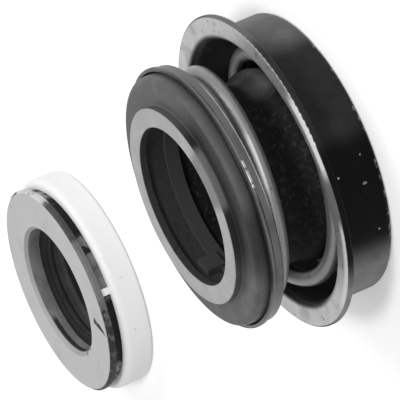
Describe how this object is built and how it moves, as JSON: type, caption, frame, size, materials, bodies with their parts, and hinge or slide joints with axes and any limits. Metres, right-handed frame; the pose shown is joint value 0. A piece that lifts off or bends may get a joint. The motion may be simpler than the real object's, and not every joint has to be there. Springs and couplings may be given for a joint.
{
  "type": "component mechanical seal",
  "caption": "Face seal for a pump shaft: a flanged press-in cup with a spring-loaded carbon ring on a rubber bellows, and a mating seat ring in a rubber-lined carrier.",
  "frame": {"origin": "on the seal head's axis, in the plane of the cup's rear face, which the head rests on", "axes": "+Z along the head's axis from the cup's rear face to the carbon face, +Y towards the seat, +X across both"},
  "size_m": [0.0412, 0.1338, 0.0191],
  "materials": {
    "coated_case": "satin black coating with bare bright edges",
    "spring_steel": "drawn wire",
    "stainless": "pressed sheet",
    "black_rubber": "matt",
    "carbon": "lapped face, moulded sides",
    "grey_iron": "lapped",
    "white_ceramic": "smooth"
  },
  "bodies": {
    "case": {"case": "coated_case", "coil_spring": "spring_steel", "bellows": "black_rubber", "ferrule": "stainless", "seat_ring": "grey_iron", "seat_carrier": "white_ceramic", "shaft_boot": "black_rubber"},
    "nose": {"carbon_ring": "carbon", "retainer_band": "stainless", "spring_cup": "stainless", "drive_sleeve": "stainless"}
  },
  "joints": [
    {"name": "face_travel", "type": "slide", "parent": "case", "child": "nose", "axis": [0, 0, -1], "range_m": [0, 0.0035], "stiffness_N_per_m": 4000, "deforming": ["coil_spring", "bellows"]}
  ]
}
